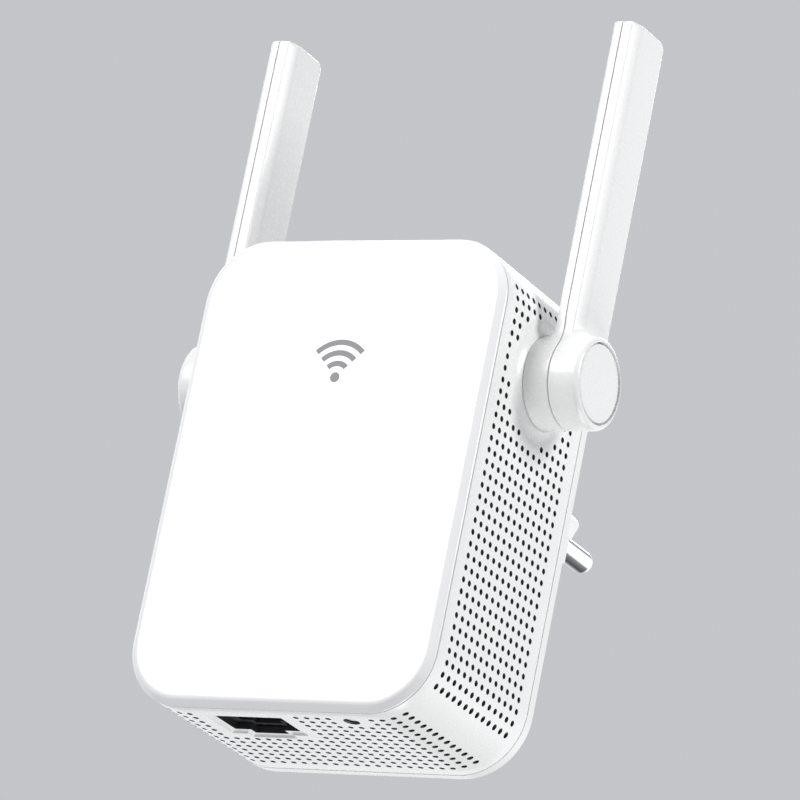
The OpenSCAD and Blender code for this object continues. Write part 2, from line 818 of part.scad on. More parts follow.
// Outer form of one antenna; the wide bevel lies on the outer or on the inner front edge.
module antenna_form(bevel_outside) {
  rim = 1.2;
  x1 = blade_x0 + blade_t;
  rotate([90, 0, 90])
    rotate_extrude($fn = 96) {
      square([hub_r - rim, hub_l]);
      square([hub_r, hub_l - rim]);
      translate([hub_r - rim, hub_l - rim]) circle(r = rim);
    }
  difference() {
    across(blade_x0, x1) blade_outline();
    if (bevel_outside)
      blade_bevel(x1, -1);
    else
      blade_bevel(blade_x0, 1);
  }
}

// Prism that takes off one front edge of the blade above the hub.
module blade_bevel(edge_x, inward) {
  bevel_start = 11;
  y0 = -blade_w / 2;
  translate([0, 0, bevel_start]) linear_extrude(blade_l)
    polygon([
      [edge_x + inward * bevel_x, y0 - 0.01], [edge_x - inward * 0.01, y0 + bevel_y],
      [edge_x - inward, y0 + bevel_y], [edge_x - inward, y0 - 1], [edge_x + inward * bevel_x, y0 - 1],
    ]);
}

module antenna_cavity() {
  along_x(hub_floor, 0, 0, cap_seat - hub_floor + 1, hub_cavity_r);
  along_x(cap_seat, 0, 0, hub_l, cap_r + 0.05, $fn = 96);
  box(blade_x0 + blade_wall, blade_x0 + blade_t - blade_wall, blade_cavity_front, blade_cavity_back,
      4, blade_l - 1.4);
}

module inner_shell(s, seam) at_hinge(s) color(shell_white) {
  groove_r = spindle_r - 0.6;
  difference() {
    union() {
      intersection() {
        antenna_form(s > 0);
        box(-1, seam, -20, 20, -20, 100);
      }
      along_x(spindle_end, 0, 0, hub_floor - spindle_end, spindle_r);
    }
    difference() {
      antenna_cavity();
      along_x(-1, 0, 0, hub_floor + 1, spindle_r);
    }
    along_x(spindle_end - 1, 0, 0, hub_floor - spindle_end + 2, spindle_bore_r);
    difference() {
      along_x(ring_x - ring_t - run_gap, 0, 0, ring_t + run_gap, spindle_r + 1);
      along_x(ring_x - ring_t - 1, 0, 0, ring_t + 2, groove_r);
    }
  }
}

module outer_shell(s, seam) at_hinge(s) color(shell_white) {
  difference() {
    intersection() {
      antenna_form(s > 0);
      box(seam, 30, -20, 20, -20, 100);
    }
    antenna_cavity();
  }
}

module hub_cap(s) at_hinge(s) color(shell_white) {
  difference() {
    along_x(cap_seat, 0, 0, cap_t, cap_r, $fn = 96);
    difference() {
      along_x(cap_seat + cap_t - 0.35, 0, 0, 1, cap_r - 0.8, $fn = 96);
      along_x(cap_seat, 0, 0, cap_t + 1, cap_r - 1.3, $fn = 96);
    }
  }
}

radiator_x = 4.7;
radiator_t = 0.8;
antenna_cable_r = 0.65;

module radiator(s) at_hinge(s) color([0.75, 0.6, 0.3]) {
  box(radiator_x, radiator_x + radiator_t, blade_cavity_front + 0.3, blade_cavity_back - 0.3,
      12, blade_l - 4);
}

module blade_cable(s) at_hinge(s) color(black_plastic) {
  lie_x = radiator_x + radiator_t + antenna_cable_r + 0.01;
  cable([[spindle_end - 0.3, 0, 0], [lie_x, 0, 0], [lie_x, 0, 20]], antenna_cable_r);
}

module washer(s) at_hinge(s) color([0.3, 0.3, 0.32]) {
  difference() {
    along_x(washer_x - washer_t, 0, 0, washer_t, 7);
    along_x(washer_x - washer_t - 1, 0, 0, washer_t + 2, spindle_r + run_gap);
  }
}

module ring(s) at_hinge(s) color(metal) {
  x0 = ring_x - ring_t;
  difference() {
    along_x(x0, 0, 0, ring_t, 5.6);
    along_x(x0 - 1, 0, 0, ring_t + 2, spindle_r - 0.55);
    box(x0 - 1, ring_x + 1, -2, 2, 0, 10);
  }
}

module right_inner_shell() inner_shell(1, right_seam);

module right_outer_shell() outer_shell(1, right_seam);

module right_hub_cap() hub_cap(1);

module right_radiator() radiator(1);

module right_blade_cable() blade_cable(1);

module right_washer() washer(1);

module right_ring() ring(1);

module left_inner_shell() inner_shell(-1, left_seam);

module left_outer_shell() outer_shell(-1, left_seam);

module left_hub_cap() hub_cap(-1);

module left_radiator() radiator(-1);

module left_blade_cable() blade_cable(-1);

module left_washer() washer(-1);

module left_ring() ring(-1);

front_cover();
side_frame();
rear_cover();
case_screws();
board_screws();
rating_plate();
plug_pin_left();
plug_pin_right();
mains_leads();
power_board();
power_board_screws();
transformer_core();
transformer_winding();
bulk_capacitors();
output_capacitors();
line_choke();
line_fuse();
bridge_rectifier();
safety_capacitor();
optocoupler();
power_controller();
board_link();
insulation_sheet();
main_board();
shield_frame();
shield_lid();
processor();
memory_chips();
radio_chips();
thermal_pad();
heat_spreader();
ethernet_shell();
ethernet_insert();
ethernet_contacts();
ethernet_magnetics();
coax_connectors();
right_body_cable();
left_body_cable();
reset_switch();
reset_plunger();
pairing_switch();
pairing_button();
status_leds();
light_pipe();
right_inner_shell();
right_outer_shell();
right_hub_cap();
right_radiator();
right_blade_cable();
right_washer();
right_ring();
left_inner_shell();
left_outer_shell();
left_hub_cap();
left_radiator();
left_blade_cable();
left_washer();
left_ring();
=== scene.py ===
"""Looks of the plug-in wireless range extender: rebuilt casing and antennas, materials and studio."""

import json
import math

import bmesh
import bpy
from mathutils import Matrix, Vector


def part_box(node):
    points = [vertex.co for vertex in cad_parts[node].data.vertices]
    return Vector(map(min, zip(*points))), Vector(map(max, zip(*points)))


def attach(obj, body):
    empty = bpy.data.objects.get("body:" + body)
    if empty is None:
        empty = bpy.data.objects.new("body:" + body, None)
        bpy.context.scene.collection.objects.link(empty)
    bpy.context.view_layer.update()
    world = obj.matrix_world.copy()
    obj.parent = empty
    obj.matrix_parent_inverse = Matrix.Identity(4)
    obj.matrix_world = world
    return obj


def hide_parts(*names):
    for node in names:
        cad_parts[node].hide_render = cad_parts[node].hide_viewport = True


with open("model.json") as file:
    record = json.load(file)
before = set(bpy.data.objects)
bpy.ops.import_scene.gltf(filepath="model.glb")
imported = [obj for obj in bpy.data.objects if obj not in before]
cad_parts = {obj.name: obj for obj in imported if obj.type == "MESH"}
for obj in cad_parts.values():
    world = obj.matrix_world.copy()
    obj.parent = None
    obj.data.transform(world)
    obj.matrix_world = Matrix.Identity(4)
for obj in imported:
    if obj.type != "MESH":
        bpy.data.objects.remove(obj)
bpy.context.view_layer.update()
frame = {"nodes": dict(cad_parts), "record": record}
NODES = frame["nodes"]
MM = 0.001

# The work is done in millimetres from the middle of the underside at the front seam.
frame_low, frame_high = (Vector(corner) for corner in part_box("side_frame"))
ORIGIN = Vector(((frame_low.x + frame_high.x) / 2, frame_low.y, frame_low.z))


def place(point):
    """A point of the body, in millimetres, in the row frame in metres."""
    return ORIGIN + Vector(point) * MM


def mm_box(node):
    """Lowest and highest corner of a CAD node in millimetres of the body."""
    return tuple((Vector(corner) - ORIGIN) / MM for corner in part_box(node))


def middle_of(node):
    """Middle of a CAD node's box as (x, y, z) in millimetres of the body."""
    low, high = mm_box(node)
    return tuple((a + b) / 2 for a, b in zip(low, high))


cover_low, cover_high = mm_box("front_cover")
wall_high = mm_box("side_frame")[1]
HALF_W = cover_high.x
BODY_H = cover_high.z
REAR_SEAM = wall_high.y
CORNER_R = 13.5
WALL = 2.0
GAP = 0.12
SHARP_DEG = 35.0

VENT_PITCH = 2.5
VENT_R = 0.55
VENT_ROWS = 35
VENT_COLS = 13
VENT_FIRST_Y = 4.0
VENT_FIRST_Z = 7.5
UNDER_COLS = 23
UNDER_FIRST_X = 28.4 - (UNDER_COLS - 1) * VENT_PITCH
VENT_CLEAR_R = 13.2
CONTROLS_DEPTH, CONTROLS_LOW, CONTROLS_HIGH = 9.8, 22, 63
PORT_CLEAR = (10.15, 17.9)
RESET_CLEAR = (4.5, 7.2)
HINGE_BORE_R = 4.05
HUB_SEAT_R = 7.4
CAP_DEPTH = 1.6
MARK_SEAT = 0.03
TOP_VENT_ROWS = range(5, 8)
TOP_VENT_COLS = range(3, 19)


# Mesh helpers ---------------------------------------------------------------


def new_object(name, verts, faces, sharp_deg=SHARP_DEG):
    """A mesh object from body millimetres, smooth apart from edges sharper than sharp_deg."""
    mesh = bpy.data.meshes.new(name)
    mesh.from_pydata([place(v) for v in verts], [], faces)
    obj = bpy.data.objects.new(name, mesh)
    bpy.context.scene.collection.objects.link(obj)
    tidy_mesh(obj, sharp_deg)
    return obj


def tidy_mesh(obj, sharp_deg=SHARP_DEG, weld=0.004):
    """Welds doubled vertices, turns the faces outward and sets the smoothing."""
    work = bmesh.new()
    work.from_mesh(obj.data)
    bmesh.ops.remove_doubles(work, verts=work.verts, dist=weld * MM)
    bmesh.ops.dissolve_degenerate(work, edges=work.edges, dist=0.001 * MM)
    bmesh.ops.recalc_face_normals(work, faces=work.faces)
    work.to_mesh(obj.data)
    work.free()
    obj.data.polygons.foreach_set("use_smooth", [True] * len(obj.data.polygons))
    obj.data.set_sharp_from_angle(angle=math.radians(sharp_deg))
    obj.data.update()


def joined(obj, others):
    """Adds the meshes of others to obj."""
    work = bmesh.new()
    for part in [obj] + others:
        work.from_mesh(part.data)
    work.to_mesh(obj.data)
    work.free()
    for part in others:
        bpy.data.objects.remove(part)
    obj.data.set_sharp_from_angle(angle=math.radians(SHARP_DEG))
    return obj


def combined(obj, tool, operation):
    """obj with the closed mesh tool cut away or added, and the tool removed."""
    modifier = obj.modifiers.new("shape", "BOOLEAN")
    modifier.operation = operation
    modifier.solver = "EXACT"
    modifier.object = tool
    bpy.context.view_layer.update()
    result = bpy.data.meshes.new_from_object(obj.evaluated_get(bpy.context.evaluated_depsgraph_get()))
    obj.modifiers.clear()
    obj.data = result
    bpy.data.objects.remove(tool)
    tidy_mesh(obj)
    return obj


def cut(obj, skin):
    """Cuts the closed skin, given as vertices and faces, out of obj."""
    combined(obj, new_object("cutter", *skin), "DIFFERENCE")


def volume_of(mesh):
    """Volume of a closed mesh in cubic millimetres."""
    work = bmesh.new()
    work.from_mesh(mesh)
    volume = work.calc_volume()
    work.free()
    return volume / MM**3


def united(obj, tool):
    """obj and tool as one mesh; where the union drops a part, both closed meshes are kept."""
    before, expected = obj.data.copy(), max(volume_of(obj.data), volume_of(tool.data))
    spare = tool.copy()
    spare.data = tool.data.copy()
    bpy.context.scene.collection.objects.link(spare)
    combined(obj, tool, "UNION")
    if volume_of(obj.data) < expected * 1.02:
        print("union fell back to joined meshes:", obj.name)
        obj.data = before
        return joined(obj, [spare])
    bpy.data.objects.remove(spare)
    return obj


def arc(cx, cy, r, start_deg, end_deg, steps):
    """Points of an arc, both ends included."""
    angles = [math.radians(start_deg + (end_deg - start_deg) * i / steps) for i in range(steps + 1)]
    return [(cx + r * math.cos(a), cy + r * math.sin(a)) for a in angles]


def rounded_polygon(corners, steps=5):
    """Closed outline from (x, y, radius) corners, each rounded by a curve of that size."""
    points = []
    count = len(corners)
    for i, (x, y, r) in enumerate(corners):
        here = Vector((x, y))
        before = Vector(corners[i - 1][:2])
        after = Vector(corners[(i + 1) % count][:2])
        if r <= 0:
            points.append((x, y))
            continue
        start = here + (before - here).normalized() * r
        end = here + (after - here).normalized() * r
        for k in range(steps + 1):
            t = k / steps
            p = start * (1 - t) ** 2 + here * 2 * t * (1 - t) + end * t**2
            points.append((p.x, p.y))
    return points


def rounded_rectangle(half_w, half_h, r, steps=16):
    """Counter-clockwise outline with true arcs, centred on zero."""
    points = []
    for sx, sy, start in ((1, 1, 0), (-1, 1, 90), (-1, -1, 180), (1, -1, 270)):
        points += arc(sx * (half_w - r), sy * (half_h - r), r, start, start + 90, steps)
    return points


def front_loop(inset, y, steps=16):
    """Loop of the body's outline, inset and at depth y."""
    outline = rounded_rectangle(HALF_W - inset, BODY_H / 2 - inset, CORNER_R - inset, steps)
    return [(x, y, BODY_H / 2 + z) for x, z in outline]


def loft(loops, close_start=True, close_end=True):
    """Vertices and faces of a skin over loops with equal counts."""
    count = len(loops[0])
    verts = [p for loop in loops for p in loop]
    faces = []
    for i in range(len(loops) - 1):
        for k in range(count):
            a = i * count + k
            b = i * count + (k + 1) % count
            faces.append((a, b, b + count, a + count))
    if close_start:
        faces.append(tuple(range(count)))
    if close_end:
        faces.append(tuple(range((len(loops) - 1) * count, len(loops) * count)))
    return verts, faces


def lathe(profile, centre, direction, turns=72):
    """Closed solid of revolution from (along, radius) points; direction is a unit axis."""
    axis = Vector(direction)
    side = Vector((0, 0, 1)) if abs(axis.z) < 0.5 else Vector((1, 0, 0))
    other = axis.cross(side)
    loops = []
    for i in range(turns):
        a = 2 * math.pi * i / turns
        spoke = side * math.cos(a) + other * math.sin(a)
        loops.append([tuple(Vector(centre) + axis * x + spoke * r) for x, r in profile])
    loops.append(loops[0])
    return loft(loops, close_start=False, close_end=False)


def prism(outline, axis, low, high):
    """Vertices and faces of an outline pushed along x, y or z."""
    order = {"x": lambda p, d: (d, *p), "y": lambda p, d: (p[0], d, p[1]), "z": lambda p, d: (*p, d)}
    return loft([[order[axis](p, low) for p in outline], [order[axis](p, high) for p in outline]])


# Materials ------------------------------------------------------------------


class Look:
    """A node material with a Principled shader and short calls for its detail."""

    def __init__(self, name, colour, roughness, metallic=0.0):
        self.material = bpy.data.materials.new(name)
        self.material.use_nodes = True
        self.tree = self.material.node_tree
        self.shader = self.tree.nodes["Principled BSDF"]
        self.shader.inputs["Base Color"].default_value = (*colour, 1)
        self.shader.inputs["Roughness"].default_value = roughness
        self.shader.inputs["Metallic"].default_value = metallic
        self.material.diffuse_color = (*colour, 1)
        self.place = self.tree.nodes.new("ShaderNodeTexCoord").outputs["Object"]
        self.height = None

    def node(self, kind, **inputs):
        made = self.tree.nodes.new(kind)
        for key, value in inputs.items():
            made.inputs[key].default_value = value
        return made

    def link(self, out, inp):
        self.tree.links.new(out, inp)

    def noise(self, size_mm, detail=3.0, stretch=(1, 1, 1)):
        """A noise value with features of about size_mm."""
        mapping = self.node("ShaderNodeMapping")
        mapping.inputs["Scale"].default_value = [s / (size_mm * MM) for s in stretch]
        noise = self.node("ShaderNodeTexNoise", Scale=1.0, Detail=detail)
        self.link(self.place, mapping.inputs["Vector"])
        self.link(mapping.outputs["Vector"], noise.inputs["Vector"])
        return noise.outputs["Fac"]

    def ramp(self, value, low, high, start=0.0, end=1.0):
        """value from start to end mapped to low to high."""
        mapped = self.tree.nodes.new("ShaderNodeMapRange")
        self.link(value, mapped.inputs["Value"])
        for key, number in zip(("From Min", "From Max", "To Min", "To Max"), (start, end, low, high)):
            mapped.inputs[key].default_value = number
        return mapped.outputs["Result"]

    def mix(self, factor, first, second):
        """Colour between first and second, each a colour or a socket."""
        mixed = self.tree.nodes.new("ShaderNodeMix")
        mixed.data_type = "RGBA"
        self.link(factor, mixed.inputs["Factor"])
        for key, value in (("A", first), ("B", second)):
            target = [s for s in mixed.inputs if s.name == key and s.type == "RGBA"][0]
            if isinstance(value, (tuple, list)):
                target.default_value = (*value, 1)
            else:
                self.link(value, target)
        return [s for s in mixed.outputs if s.type == "RGBA"][0]

    def set_colour(self, socket):
        self.link(socket, self.shader.inputs["Base Color"])

    def set_roughness(self, socket):
        self.link(socket, self.shader.inputs["Roughness"])

    def add_bump(self, value, depth_mm):
        """Adds a bump of depth_mm on top of the bumps made so far."""
        bump = self.node("ShaderNodeBump", Strength=1.0, Distance=depth_mm * MM)
        self.link(value, bump.inputs["Height"])
        if self.height is not None:
            self.link(self.height, bump.inputs["Normal"])
        self.height = bump.outputs["Normal"]
        self.link(self.height, self.shader.inputs["Normal"])

    def edge_mask(self, radius_mm):
        """1 along sharp edges and 0 elsewhere."""
        bevel = self.node("ShaderNodeBevel", Radius=radius_mm * MM)
        bevel.samples = 4
        geometry = self.tree.nodes.new("ShaderNodeNewGeometry")
        dot = self.tree.nodes.new("ShaderNodeVectorMath")
        dot.operation = "DOT_PRODUCT"
        self.link(bevel.outputs["Normal"], dot.inputs[0])
        self.link(geometry.outputs["Normal"], dot.inputs[1])
        return self.ramp(dot.outputs["Value"], 1.0, 0.0, 0.8, 0.99)


def moulded(name, colour, roughness=0.3, grain_mm=0.35, grain_depth=0.00015, lighter_edges=True):
    """Moulded plastic: faint flow in the colour, fine skin texture and a slightly lighter colour along
    sharp edges.
    """
    look = Look(name, colour, roughness)
    flow = look.noise(18.0, 2.0, (1, 1, 0.35))
    darker = tuple(c * 0.99 for c in colour)
    tint = look.mix(look.ramp(flow, 0, 1, 0.35, 0.65), darker, colour)
    gloss = look.ramp(look.noise(0.8, 4.0), roughness * 0.98, roughness * 1.03, 0.3, 0.7)
    # The colour is made slightly lighter along sharp edges, found by a bevel mask.
    if lighter_edges:
        edge = look.edge_mask(0.25)
        tint = look.mix(look.ramp(edge, 0, 0.35), tint, tuple(min(1, c * 1.04) for c in colour))
    look.set_colour(tint)
    look.set_roughness(gloss)
    look.add_bump(look.noise(grain_mm, 2.0), grain_depth)
    look.shader.inputs["Coat Weight"].default_value = 0.15
    look.shader.inputs["Coat Roughness"].default_value = 0.12
    return look.material


def metal_look(name, colour, roughness=0.25, brush_mm=0.15, stretch=(1, 1, 1), depth=0.003):
    """Metal with fine brushing and duller patches."""
    look = Look(name, colour, roughness, 1.0)
    brushed = look.noise(brush_mm, 3.0, stretch)
    patches = look.noise(2.5, 3.0)
    dull = tuple(c * 0.82 for c in colour)
    look.set_colour(look.mix(look.ramp(patches, 0, 1, 0.3, 0.7), dull, colour))
    look.set_roughness(look.ramp(patches, roughness * 0.7, roughness * 1.5, 0.3, 0.7))
    look.add_bump(brushed, depth)
    return look.material


def painted_reflection_look(name, colour):
    """Polished round metal with painted reflections of a studio: a broad bright band between dark
    bands, set by how far the surface faces a fixed direction, so they stay put when the lamps or the
    camera move.
    """
    look = Look(name, colour, 0.12, 1.0)
    geometry = look.tree.nodes.new("ShaderNodeNewGeometry")
    across = look.node("ShaderNodeVectorMath")
    across.operation = "DOT_PRODUCT"
    across.inputs[1].default_value = (0.52, 0.0, 0.85)
    look.link(geometry.outputs["Normal"], across.inputs[0])
    # Painted reflections: bright in the middle band, dark towards and away from the fixed direction,
    # and grey where the surface faces straight along it or straight against it.
    dark = tuple(c * 0.16 for c in colour)
    upper = look.ramp(across.outputs["Value"], 0, 1, 0.72, 0.8)
    edge = look.ramp(across.outputs["Value"], 0, 1, 0.93, 0.97)
    lower = look.ramp(across.outputs["Value"], 0, 1, -0.25, -0.75)
    rim = look.ramp(across.outputs["Value"], 0, 1, -0.92, -0.98)
    shade = look.mix(lower, look.mix(upper, colour, dark), dark)
    lit = tuple(c * 0.7 for c in colour)
    look.set_colour(look.mix(rim, look.mix(edge, shade, lit), lit))
    look.set_roughness(look.ramp(look.noise(1.5, 3.0), 0.09, 0.16, 0.3, 0.7))
    look.add_bump(look.noise(0.3, 3.0, (1, 0.05, 1)), 0.0004)
    return look.material


def board_look(name, mask_colour, copper_colour):
    """Circuit board: solder mask over a pattern of tracks, with small bright pads."""
    look = Look(name, mask_colour, 0.35)
    grid = look.node("ShaderNodeTexBrick", Scale=1.0)
    grid.inputs["Mortar Size"].default_value = 0.16
    grid.inputs["Brick Width"].default_value = 3.2
    grid.inputs["Row Height"].default_value = 1.3
    mapping = look.node("ShaderNodeMapping")
    mapping.inputs["Scale"].default_value = (1 / MM, 1 / MM, 1 / MM)
    mapping.inputs["Rotation"].default_value = (math.radians(90), 0, 0)
    look.link(look.place, mapping.inputs["Vector"])
    look.link(mapping.outputs["Vector"], grid.inputs["Vector"])
    pads = look.node("ShaderNodeTexVoronoi", Scale=260.0)
    look.link(look.place, pads.inputs["Vector"])
    tracks = tuple(c * 1.6 + 0.02 for c in mask_colour)
    base = look.mix(grid.outputs["Fac"], mask_colour, tracks)
    pad_mask = look.ramp(pads.outputs["Distance"], 1, 0, 0.10, 0.13)
    look.set_colour(look.mix(pad_mask, base, copper_colour))
    look.link(pad_mask, look.shader.inputs["Metallic"])
    look.add_bump(grid.outputs["Fac"], 0.02)
    look.add_bump(look.noise(0.4, 2.0), 0.004)
    return look.material


def chip_look(name, colour=(0.02, 0.02, 0.022)):
    """Moulded chip or black connector plastic with a fine spark-eroded skin."""
    look = Look(name, colour, 0.5)
    skin = look.noise(0.12, 2.0)
    lighter = tuple(c * 1.8 + 0.01 for c in colour)
    look.set_colour(look.mix(look.ramp(skin, 0, 0.6), colour, lighter))
    look.set_roughness(look.ramp(look.noise(1.5, 2.0), 0.42, 0.62, 0.3, 0.7))
    look.add_bump(skin, 0.01)
    return look.material


def sleeve_look(name, colour, band=None):
    """Shrunk or lacquered sleeve, with a soft sheen and an optional paler band."""
    look = Look(name, colour, 0.32)
    waves = look.noise(1.2, 3.0, (1, 0.3, 1))
    tint = look.mix(look.ramp(waves, 0, 0.5), colour, tuple(min(1, c * 1.35 + 0.01) for c in colour))
    if band:
        stripes = look.node("ShaderNodeTexWave", Scale=55.0, Distortion=0.0)
        look.link(look.place, stripes.inputs["Vector"])
        tint = look.mix(look.ramp(stripes.outputs["Fac"], 0, 1, 0.86, 0.9), tint, band)
    look.set_colour(tint)
    look.set_roughness(look.ramp(waves, 0.24, 0.42))
    look.add_bump(waves, 0.02)
    return look.material


def winding_look(name, colour):
    """Wound wire or tape: close ridges round the coil, with painted shade in the grooves, as the colour
    darkens where the ridges' bump is low.
    """
    look = Look(name, colour, 0.38)
    ridges = look.node("ShaderNodeTexWave", Scale=420.0, Distortion=0.4)
    ridges.bands_direction = "Z"
    look.link(look.place, ridges.inputs["Vector"])
    # Painted shade: darker colour in the grooves between the ridges.
    look.set_colour(look.mix(ridges.outputs["Fac"], tuple(c * 0.6 for c in colour), colour))
    look.set_roughness(look.ramp(look.noise(1.0), 0.3, 0.5))
    look.add_bump(ridges.outputs["Fac"], 0.05)
    return look.material


def clear_look(name, colour):
    """Clear moulding that passes light, faintly cloudy."""
    look = Look(name, colour, 0.12)
    look.shader.inputs["Transmission Weight"].default_value = 0.85
    look.shader.inputs["IOR"].default_value = 1.49
    look.set_roughness(look.ramp(look.noise(1.0, 3.0), 0.06, 0.25, 0.3, 0.7))
    look.add_bump(look.noise(0.8, 2.0), 0.006)
    return look.material


SHELL = (0.86, 0.86, 0.855)
LOOKS = {
    "shell": moulded("shell_plastic", SHELL, 0.27),
    "cover": moulded("cover_plastic", (0.87, 0.87, 0.875), 0.2, 0.6, 0.0002),
    "button": moulded("button_plastic", (0.8, 0.8, 0.79), 0.36),
    # The pins' colour holds painted reflections rather than reflecting the studio.
    "pin_metal": painted_reflection_look("nickel_pin_painted_reflections", (0.93, 0.925, 0.915)),
    "steel": metal_look("zinc_steel", (0.55, 0.56, 0.58), 0.3),
    "tin": metal_look("tinned_sheet", (0.62, 0.63, 0.64), 0.28, 0.2, (0.1, 1, 1)),
    "brass": metal_look("gold_flash", (0.86, 0.62, 0.26), 0.2),
    "board": board_look("green_board", (0.012, 0.11, 0.045), (0.8, 0.62, 0.3)),
    "power_board": board_look("tan_board", (0.42, 0.3, 0.12), (0.62, 0.63, 0.64)),
    "chip": chip_look("black_moulding"),
    "ferrite": chip_look("ferrite", (0.05, 0.05, 0.055)),
    "winding": winding_look("taped_winding", (0.85, 0.6, 0.08)),
    "can": sleeve_look("capacitor_sleeve", (0.02, 0.03, 0.07), (0.45, 0.48, 0.52)),
    "choke": winding_look("copper_winding", (0.5, 0.2, 0.06)),
    "fuse": sleeve_look("fuse_lacquer", (0.25, 0.42, 0.27)),
    "disc": sleeve_look("disc_lacquer", (0.03, 0.13, 0.45)),
    "sheet": moulded("film_sheet", (0.75, 0.72, 0.58), 0.3, 1.5, 0.01, False),
    "aluminium": metal_look("plain_aluminium", (0.74, 0.75, 0.76), 0.3, 0.2, (0.06, 1, 1)),
    "pad": chip_look("gap_pad", (0.25, 0.33, 0.48)),
    "cable": sleeve_look("cable_jacket", (0.015, 0.015, 0.017)),
    "clear": clear_look("clear_moulding", (0.9, 0.95, 0.97)),
    "lamp": clear_look("lamp_epoxy", (0.95, 0.9, 0.6)),
    "antenna_board": board_look("antenna_board", (0.55, 0.33, 0.12), (0.8, 0.5, 0.25)),
    "washer": chip_look("friction_washer", (0.05, 0.05, 0.052)),
    "plate": chip_look("blank_foil", (0.5, 0.505, 0.51)),
    # Near-black painted shade for the hole walls and the inside of the frame.
    "shade": chip_look("painted_vent_shade", (0.012, 0.012, 0.013)),
}


def finish_piece(obj, slot, body, *nodes):
    """Gives a rebuilt piece its material, its body and the CAD nodes that it stands for."""
    obj.data.materials.clear()
    obj.data.materials.append(LOOKS[slot])
    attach(obj, body)
    if nodes:
        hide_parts(*nodes)


def dress_cad_nodes():
    """Materials and small edge rounding for the CAD nodes that stay."""
    slots = {part["node"]: part["material_slot"] for part in frame["record"]["subparts"]}
    for name, obj in NODES.items():
        obj.data.materials.clear()
        obj.data.materials.append(LOOKS[slots[name]])
        low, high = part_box(name)
        size = min(h - l for l, h in zip(low, high))
        bevel = obj.modifiers.new("edges", "BEVEL")
        bevel.width = min(0.2 * MM, size * 0.12)
        bevel.segments = 2
        bevel.limit_method = "ANGLE"
        bevel.angle_limit = math.radians(40)
        bevel.harden_normals = True


# Casing ---------------------------------------------------------------------


def build_front_cover():
    """Front cover with a rounded bevel, a thin shadow gap at the seam and the hidden lip."""
    lip_out = WALL + 0.15
    lip_in = lip_out + 0.4
    lip_end = cover_high.y
    front = cover_low.y + MARK_SEAT
    bevel_w = 1.3
    back = -2 * GAP
    profile = [
        (lip_in, -0.2), (lip_in, lip_end), (lip_out, lip_end), (lip_out, back),
        (0.3, back), (0.1, back - 0.04), (0.0, back - 0.16), (0.0, -0.5),
        (0.06, -0.64), (0.2, -0.8),
        (bevel_w - 0.22, front + 0.2), (bevel_w - 0.02, front + 0.07), (bevel_w + 0.3, front + 0.012),
        (bevel_w + 0.8, front),
    ]
    loops = [front_loop(inset, y) for inset, y in profile]
    obj = new_object("front_cover_shell", *loft(loops))
    finish_piece(obj, "cover", "casing", "front_cover")


def side_outer(z):
    """Outer and inner x of a side wall at height z, following the corner arcs."""
    past = max(CORNER_R - z, z - (BODY_H - CORNER_R), 0.0)
    inner_r = CORNER_R - WALL
    centre = HALF_W - CORNER_R
    return centre + math.sqrt(CORNER_R**2 - past**2), centre + math.sqrt(inner_r**2 - past**2)


def under_outer(x):
    """Outer and inner depth of the underside at x, measured up from the underside."""
    past = max(abs(x) - (HALF_W - CORNER_R), 0.0)
    inner_r = CORNER_R - WALL
    return CORNER_R - math.sqrt(CORNER_R**2 - past**2), CORNER_R - math.sqrt(inner_r**2 - past**2)


class WallSkin:
    """Collects the faces of the perforated wall; welding joins them afterwards."""

    def __init__(self):
        self.verts = []
        self.faces = []

    def add(self, points, faces):
        base = len(self.verts)
        self.verts += points
        self.faces += [tuple(base + i for i in face) for face in faces]

    def cell(self, mapped, u0, y0, half, hole):
        """A square of the wall in (u, y), outer and inner skin, with or without a hole."""
        border = [(half, 0), (half, half), (0, half), (-half, half),
                  (-half, 0), (-half, -half), (0, -half), (half, -half)]
        outer = [mapped(u0 + du, y0 + dy, 0) for du, dy in border]
        inner = [mapped(u0 + du, y0 + dy, 1) for du, dy in border]
        if not hole:
            self.add(outer, [tuple(range(8))])
            self.add(inner, [tuple(range(8))])
            return
        steps = 16
        chamfer = 0.08

        def ring(r, depth):
            points = []
            for i in range(steps):
                a = 2 * math.pi * i / steps
                points.append(mapped(u0 + r * math.cos(a), y0 + r * math.sin(a), depth))
            return points

        rings = ring(VENT_R + chamfer, 0) + ring(VENT_R, 0.07) + ring(VENT_R, 1)
        sides = []
        for layer in (0, 1):
            for i in range(steps):
                a = layer * steps + i
                b = layer * steps + (i + 1) % steps
                sides.append((a, b, b + steps, a + steps))
        self.add(rings, sides)
        for skin, loop in ((outer, rings[:steps]), (inner, rings[2 * steps:])):
            faces = []
            for k in range(8):
                a, b = k, (k + 1) % 8
                i = 8 + 2 * k
                mid = 8 + (2 * k + 1) % steps
                end = 8 + (2 * k + 2) % steps
                faces += [(a, b, end, mid, i)]
            self.add(skin + loop, faces)


